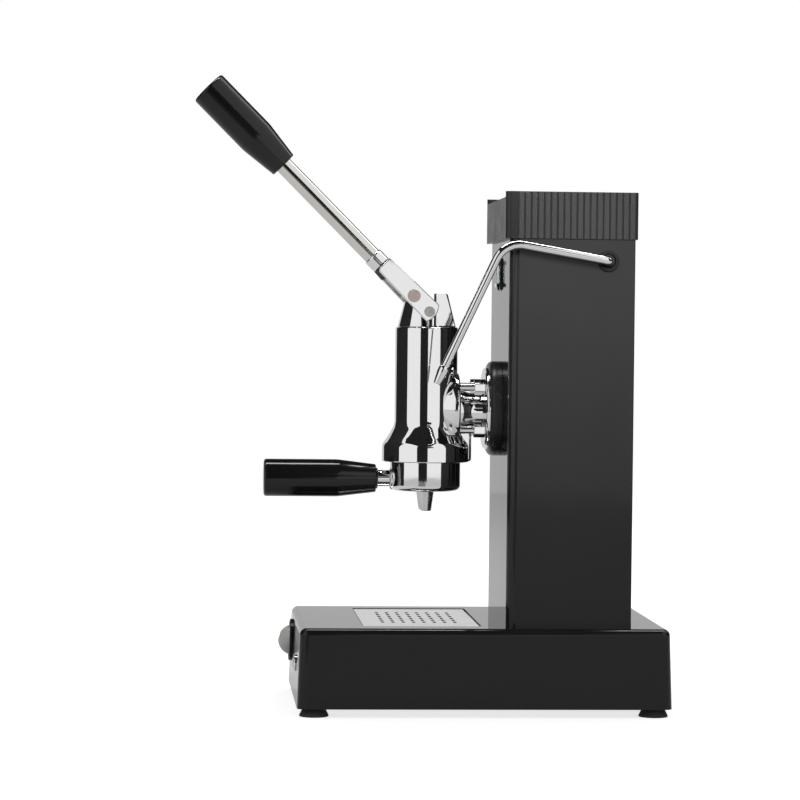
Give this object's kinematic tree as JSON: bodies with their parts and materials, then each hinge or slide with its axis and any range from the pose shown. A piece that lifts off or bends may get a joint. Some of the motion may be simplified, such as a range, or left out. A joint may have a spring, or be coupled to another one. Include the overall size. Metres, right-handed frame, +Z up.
{
  "type": "lever espresso machine",
  "caption": "Home lever espresso machine: black base and tower with a ribbed top, chromed spring group with lever, filter holder, drip tray and swinging steam wand.",
  "frame": {"origin": "on the counter, straight below the brewing axis, which is also the middle of the footprint with the lever up", "axes": "+Z up, -Y towards the user (lever and filter holder grip), +X towards the steam wand side"},
  "size_m": [0.2, 0.3771, 0.5016],
  "materials": {
    "black_paint": "gloss black enamel on sheet steel",
    "galvanised": "plain zinc-plated steel",
    "rubber": "matte black rubber",
    "stainless": "satin stainless steel",
    "black_plastic": "satin black moulded plastic",
    "grey_plastic": "pale grey translucent plastic",
    "clear_lens": "clear moulded lens",
    "chrome": "polished chrome on brass",
    "brushed_steel": "brushed stainless rod",
    "bakelite": "gloss black bakelite",
    "glass": "clear glass tube",
    "brass": "plain brass",
    "bronze": "turned bronze",
    "steel": "plain steel"
  },
  "bodies": {
    "frame": {"base_shell": "black_paint", "base_deck": "black_paint", "base_floor": "galvanised", "tray_well": "black_paint", "rubber_feet": "rubber", "foot_screws": "galvanised", "switch_bezel": "black_plastic", "lamp_ring": "chrome", "lamp_lens": "clear_lens", "cord_gland": "black_plastic", "tower_shell": "black_paint", "tower_back": "black_paint", "back_screws": "galvanised", "top_collar": "black_plastic", "window_frame": "black_plastic", "sight_glass": "glass", "sight_fittings": "chrome", "boiler_body": "brass", "heating_element": "steel", "safety_valve": "brass", "pressure_switch": "grey_plastic", "steam_manifold": "brass", "wand_grommet": "black_plastic", "flange_disc": "black_plastic", "group_flange": "chrome", "flange_bolts": "steel", "flange_nuts": "steel", "group_body": "chrome", "hood": "chrome", "rod_bush": "brass", "main_spring": "steel", "group_gasket": "rubber", "shower_screen": "stainless"},
    "drip_tray": {"drip_tray": "stainless"},
    "drip_grid": {"drip_grid": "stainless"},
    "rocker": {"switch_rocker": "grey_plastic"},
    "cup_plate": {"cup_plate": "stainless"},
    "filler_cap": {"filler_cap": "bakelite"},
    "steam_handle": {"steam_spindle": "steel", "steam_knob": "bakelite"},
    "wand": {"wand_ball": "chrome", "wand_tube": "chrome", "wand_nozzle": "chrome"},
    "piston": {"piston": "stainless", "piston_seals": "rubber", "piston_rod": "stainless"},
    "lever": {"fulcrum_pin": "bronze", "rod_pin": "steel", "lever_yoke": "chrome", "lever_collar": "chrome", "lever_rod": "brushed_steel", "lever_grip": "bakelite"},
    "filter_holder": {"holder_body": "chrome", "filter_basket": "stainless", "holder_stem": "chrome", "holder_grip": "bakelite", "spout": "chrome"}
  },
  "joints": [
    {"name": "lever_pull", "type": "hinge", "parent": "piston", "child": "lever", "pos_m": [0, 0, 0.3145], "axis": [1, 0, 0], "range_deg": [0, 80], "stiffness_Nm_per_rad": 4, "springref_deg": -114.59},
    {"name": "piston_lift", "type": "slide", "parent": "frame", "child": "piston", "axis": [0, 0, 1], "range_m": [0, 0.02291], "deforming": ["main_spring"]},
    {"name": "holder_turn", "type": "hinge", "parent": "frame", "child": "filter_holder", "pos_m": [0, 0, 0.1943], "axis": [0, 0, 1], "range_deg": [-55, 0]},
    {"name": "wand_swing", "type": "hinge", "parent": "frame", "child": "wand", "pos_m": [0.0735, 0.136, 0.355], "axis": [1, 0, 0], "range_deg": [-40, 30]},
    {"name": "steam_turn", "type": "hinge", "parent": "frame", "child": "steam_handle", "pos_m": [-0.0735, 0.136, 0.355], "axis": [-1, 0, 0], "range_deg": [0, 540]},
    {"name": "switch_tilt", "type": "hinge", "parent": "frame", "child": "rocker", "pos_m": [-0.064, -0.10247, 0.04376], "axis": [1, 0, 0], "range_deg": [0, 28]},
    {"name": "tray_lift", "type": "slide", "parent": "frame", "child": "drip_tray", "axis": [0, 0, 1], "range_m": [0, 0.05]},
    {"name": "grid_lift", "type": "slide", "parent": "drip_tray", "child": "drip_grid", "axis": [0, 0, 1], "range_m": [0, 0.03]},
    {"name": "plate_lift", "type": "slide", "parent": "frame", "child": "cup_plate", "axis": [0, 0, 1], "range_m": [0, 0.08]},
    {"name": "cap_turn", "type": "hinge", "parent": "frame", "child": "filler_cap", "pos_m": [0, 0.10725, 0.376], "axis": [0, 0, 1], "range_deg": [0, 360]}
  ],
  "couplings": [
    {"joint": "piston_lift", "follows": "lever_pull", "m_per_rad": 0.0164}
  ]
}
